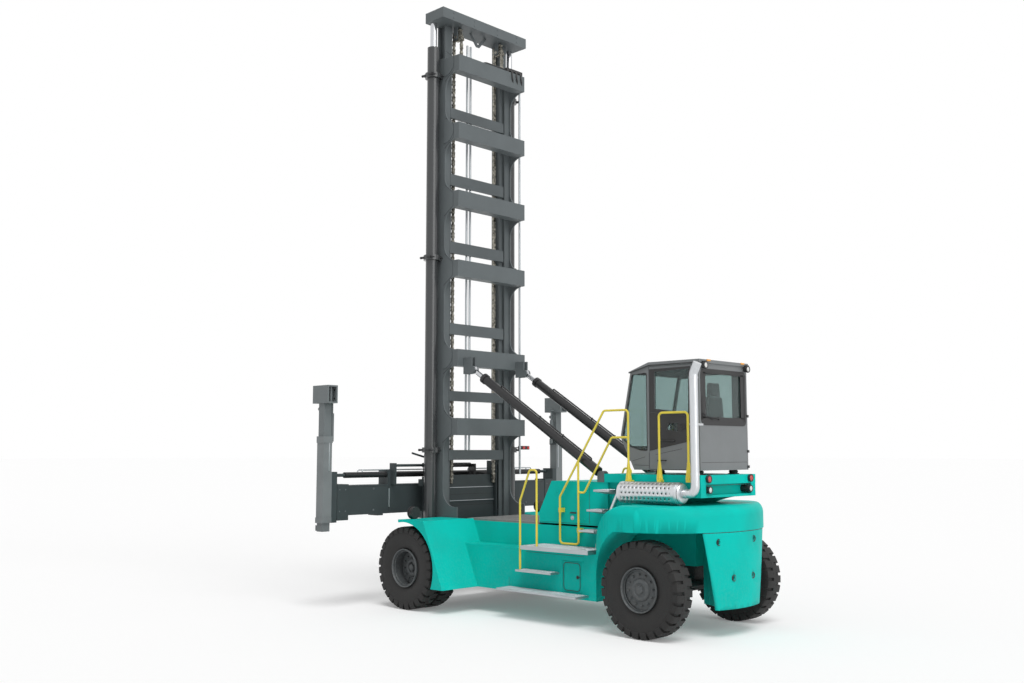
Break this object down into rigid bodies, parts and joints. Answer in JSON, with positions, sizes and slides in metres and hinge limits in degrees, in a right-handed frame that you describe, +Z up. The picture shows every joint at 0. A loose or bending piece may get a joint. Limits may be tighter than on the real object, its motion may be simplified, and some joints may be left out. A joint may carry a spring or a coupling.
{
  "type": "empty container handler",
  "caption": "Mast truck that lifts empty shipping containers by their side pins: tall two-stage mast, telescopic side-lift spreader, raised rear cab, steered rear axle.",
  "frame": {"origin": "middle of the overall length and width, on the ground", "axes": "+X forwards towards the mast and spreader, +Y to the machine's left, +Z up"},
  "size_m": [6.46, 5.96, 10.643],
  "materials": {
    "body_paint": "gloss",
    "mast_grey": "satin",
    "frame_black": "satin",
    "deck_grey": "matte",
    "cab_grey": "satin",
    "cab_frame_dark": "satin",
    "rail_yellow": "gloss",
    "rim_grey": "satin",
    "step_alloy": "matte",
    "exhaust_steel": "satin",
    "rod_chrome": "polished",
    "chain_steel": "satin",
    "engine_iron": "matte",
    "cab_glazing": "gloss",
    "seat_cloth": "matte",
    "cab_plastic": "matte",
    "lamp_red": "gloss",
    "lamp_clear": "gloss",
    "tyre_black": "matte"
  },
  "bodies": {
    "chassis": {"chassis_frame": "body_paint", "deck_plate": "deck_grey", "front_axle": "frame_black", "front_mudguards": "body_paint", "side_boxes": "body_paint", "hood": "body_paint", "engine_block": "engine_iron", "rear_cover": "body_paint", "counterweight": "body_paint", "steer_axle": "frame_black", "access_steps": "step_alloy", "handrails": "rail_yellow", "cab_shell": "cab_grey", "cab_roof": "cab_grey", "cab_glass": "cab_glazing", "cab_seat": "seat_cloth", "cab_console": "cab_plastic", "exhaust": "exhaust_steel", "head_lamps": "lamp_clear", "tail_lamps": "lamp_red", "work_lamps": "lamp_clear", "tilt_anchors": "mast_grey"},
    "wheel_front_left": {"tyre_front_left": "tyre_black", "rim_front_left": "rim_grey"},
    "wheel_front_right": {"tyre_front_right": "tyre_black", "rim_front_right": "rim_grey"},
    "steer_left": {"knuckle_left": "frame_black"},
    "steer_right": {"knuckle_right": "frame_black"},
    "wheel_rear_left": {"tyre_rear_left": "tyre_black", "rim_rear_left": "rim_grey"},
    "wheel_rear_right": {"tyre_rear_right": "tyre_black", "rim_rear_right": "rim_grey"},
    "mast": {"outer_rails": "mast_grey", "mast_side_plates": "mast_grey", "mast_cross_members": "mast_grey", "lift_tubes": "mast_grey"},
    "tilt_barrels": {"tilt_tubes": "mast_grey"},
    "tilt_plungers": {"tilt_rods": "rod_chrome"},
    "inner_mast": {"inner_rails": "mast_grey", "inner_bars": "mast_grey", "top_beam": "mast_grey", "lift_rods": "rod_chrome", "chain_sheaves": "chain_steel", "lift_chains": "chain_steel"},
    "carriage": {"carriage_frame": "mast_grey", "shift_cylinder": "mast_grey"},
    "spreader": {"spreader_frame": "mast_grey", "extend_tubes": "mast_grey"},
    "arm_left": {"boom_left": "mast_grey"},
    "arm_right": {"boom_right": "mast_grey"},
    "lock_left": {"leg_left": "mast_grey"},
    "lock_right": {"leg_right": "mast_grey"},
    "door": {"cab_door": "cab_frame_dark", "door_glass": "cab_glazing"},
    "guard_gate": {"cab_gate": "rail_yellow"},
    "hatch": {"service_hatch": "body_paint"}
  },
  "joints": [
    {"name": "front_left_spin", "type": "hinge", "parent": "chassis", "child": "wheel_front_left", "pos_m": [2.2, 1.5, 0.683], "axis": [0, 1, 0], "continuous": true},
    {"name": "front_right_spin", "type": "hinge", "parent": "chassis", "child": "wheel_front_right", "pos_m": [2.2, -1.5, 0.683], "axis": [0, 1, 0], "continuous": true},
    {"name": "left_steer", "type": "hinge", "parent": "chassis", "child": "steer_left", "pos_m": [-2.349, 0.9, 0.683], "axis": [0, 0, 1], "range_deg": [-65, 65]},
    {"name": "right_steer", "type": "hinge", "parent": "chassis", "child": "steer_right", "pos_m": [-2.349, -0.9, 0.683], "axis": [0, 0, 1], "range_deg": [-65, 65]},
    {"name": "rear_left_spin", "type": "hinge", "parent": "steer_left", "child": "wheel_rear_left", "pos_m": [-2.349, 1.167, 0.683], "axis": [0, 1, 0], "continuous": true},
    {"name": "rear_right_spin", "type": "hinge", "parent": "steer_right", "child": "wheel_rear_right", "pos_m": [-2.349, -1.167, 0.683], "axis": [0, 1, 0], "continuous": true},
    {"name": "mast_tilt", "type": "hinge", "parent": "chassis", "child": "mast", "pos_m": [2.2, 0, 1.08], "axis": [0, 1, 0], "range_deg": [-4, 3]},
    {"name": "tilt_barrel_swing", "type": "hinge", "parent": "chassis", "child": "tilt_barrels", "pos_m": [-1.16, 0, 2.255], "axis": [0, 1, 0], "range_deg": [-1.4, 1.05]},
    {"name": "tilt_rod_slide", "type": "slide", "parent": "tilt_barrels", "child": "tilt_plungers", "axis": [0.8516, 0, 0.5242], "range_m": [-0.197, 0.147]},
    {"name": "inner_lift", "type": "slide", "parent": "mast", "child": "inner_mast", "axis": [0, 0, 1], "range_m": [-0.45, 7.9]},
    {"name": "carriage_lift", "type": "slide", "parent": "inner_mast", "child": "carriage", "axis": [0, 0, 1], "range_m": [-0.45, 7.9]},
    {"name": "side_shift", "type": "slide", "parent": "carriage", "child": "spreader", "axis": [0, 1, 0], "range_m": [-0.3, 0.3]},
    {"name": "left_extend", "type": "slide", "parent": "spreader", "child": "arm_left", "axis": [0, 1, 0], "range_m": [0, 3.067]},
    {"name": "right_extend", "type": "slide", "parent": "spreader", "child": "arm_right", "axis": [0, -1, 0], "range_m": [0, 3.067]},
    {"name": "left_leg", "type": "slide", "parent": "arm_left", "child": "lock_left", "axis": [0, 0, 1], "range_m": [-0.38, 0]},
    {"name": "right_leg", "type": "slide", "parent": "arm_right", "child": "lock_right", "axis": [0, 0, 1], "range_m": [-0.38, 0]},
    {"name": "door_swing", "type": "hinge", "parent": "chassis", "child": "door", "pos_m": [-2.803, 0.63, 3.12], "axis": [0, 0, 1], "range_deg": [0, 90]},
    {"name": "gate_swing", "type": "hinge", "parent": "chassis", "child": "guard_gate", "pos_m": [-2.84, 0.78, 2.7], "axis": [0, 0, 1], "range_deg": [0, 90]},
    {"name": "hatch_swing", "type": "hinge", "parent": "chassis", "child": "hatch", "pos_m": [-1.044, 1.05, 0.725], "axis": [0, 0, 1], "range_deg": [0, 110]}
  ],
  "couplings": [
    {"joint": "right_steer", "follows": "left_steer", "ratio": 1},
    {"joint": "tilt_barrel_swing", "follows": "mast_tilt", "ratio": 0.3406},
    {"joint": "tilt_rod_slide", "follows": "mast_tilt", "m_per_rad": 2.762},
    {"joint": "carriage_lift", "follows": "inner_lift", "ratio": 1},
    {"joint": "right_extend", "follows": "left_extend", "ratio": 1},
    {"joint": "right_leg", "follows": "left_leg", "ratio": 1},
    {"joint": "gate_swing", "follows": "door_swing", "ratio": 1}
  ]
}
